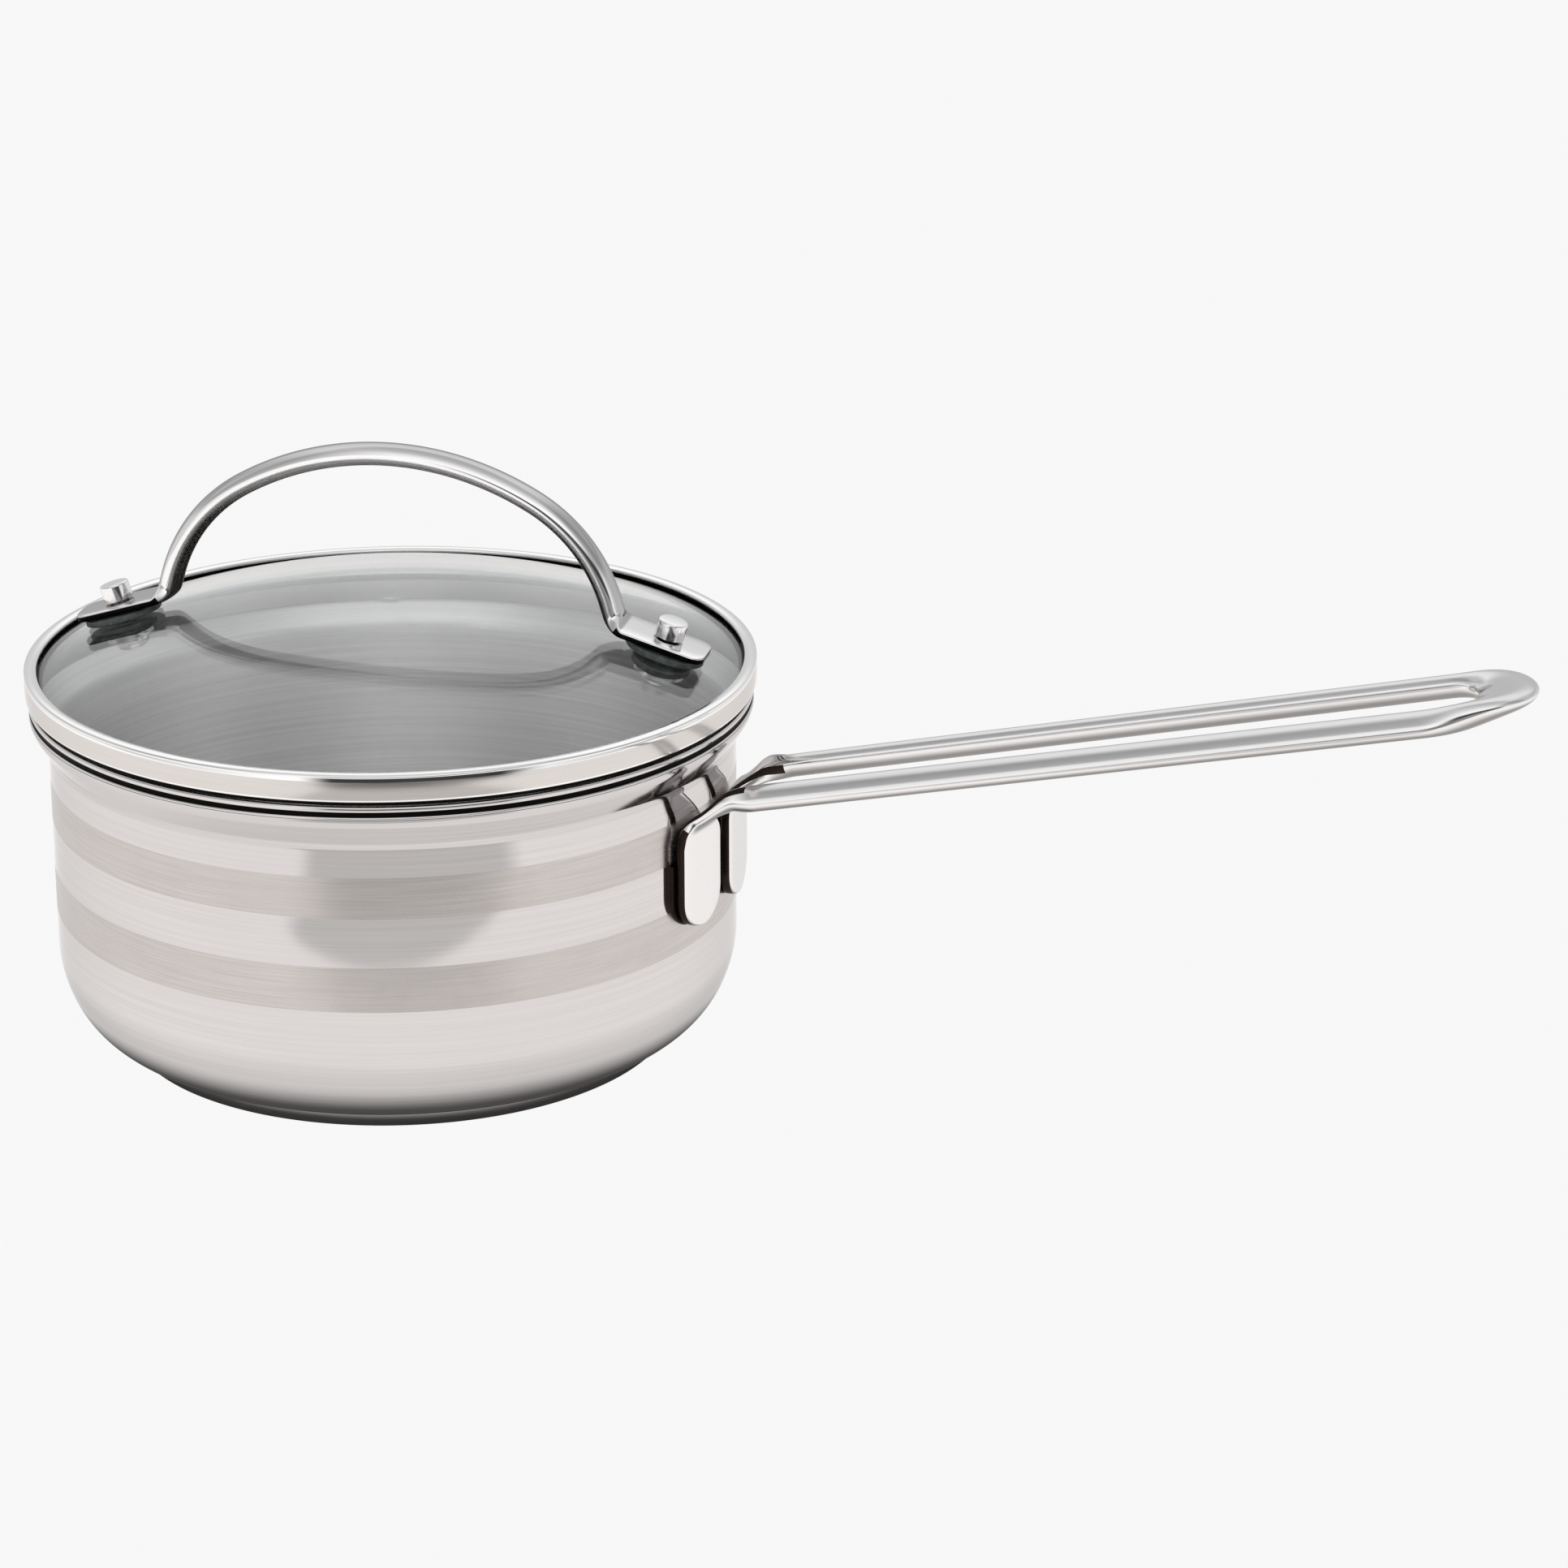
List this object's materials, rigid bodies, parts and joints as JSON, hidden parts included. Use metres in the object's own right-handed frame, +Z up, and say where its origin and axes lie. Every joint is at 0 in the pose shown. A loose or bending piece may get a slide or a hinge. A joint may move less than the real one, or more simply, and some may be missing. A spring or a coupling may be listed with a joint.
{
  "type": "saucepan with glass lid",
  "caption": "Stainless steel saucepan with satin bands on its wall, a long looped wire handle and a domed glass lid with an arched wire handle.",
  "frame": {"origin": "centre of the flat underside of the base, on the pot's axis", "axes": "+Z up along the pot's axis, +X from the pot's axis along the long handle, +Y to the left of the long handle"},
  "size_m": [0.3569, 0.171, 0.1435],
  "materials": {
    "pot_steel": "mirror-polished stainless steel wall with two satin bands, fine turned grain inside",
    "base_steel": "stainless steel tray with a turned satin underside",
    "core_aluminium": "plain aluminium disc, closed in",
    "polished_steel": "mirror-polished stainless steel",
    "lid_glass": "clear tempered glass with a faint grey-green tint",
    "pad_silicone": "matte dark silicone"
  },
  "bodies": {
    "pot": {"pot_body": "pot_steel", "base_tray": "base_steel", "base_core": "core_aluminium", "long_handle": "polished_steel"},
    "lid": {"lid_glass": "lid_glass", "lid_band": "polished_steel", "lid_handle": "polished_steel", "cap_nut_right": "polished_steel", "cap_nut_left": "polished_steel", "foot_pad_right": "pad_silicone", "foot_pad_left": "pad_silicone", "lower_pad_right": "pad_silicone", "lower_pad_left": "pad_silicone", "washer_right": "polished_steel", "washer_left": "polished_steel", "lid_screw_right": "polished_steel", "lid_screw_left": "polished_steel"}
  },
  "joints": [
    {"name": "lid_lift", "type": "slide", "parent": "pot", "child": "lid", "axis": [0, 0, 1], "range_m": [0, 0.08]}
  ]
}
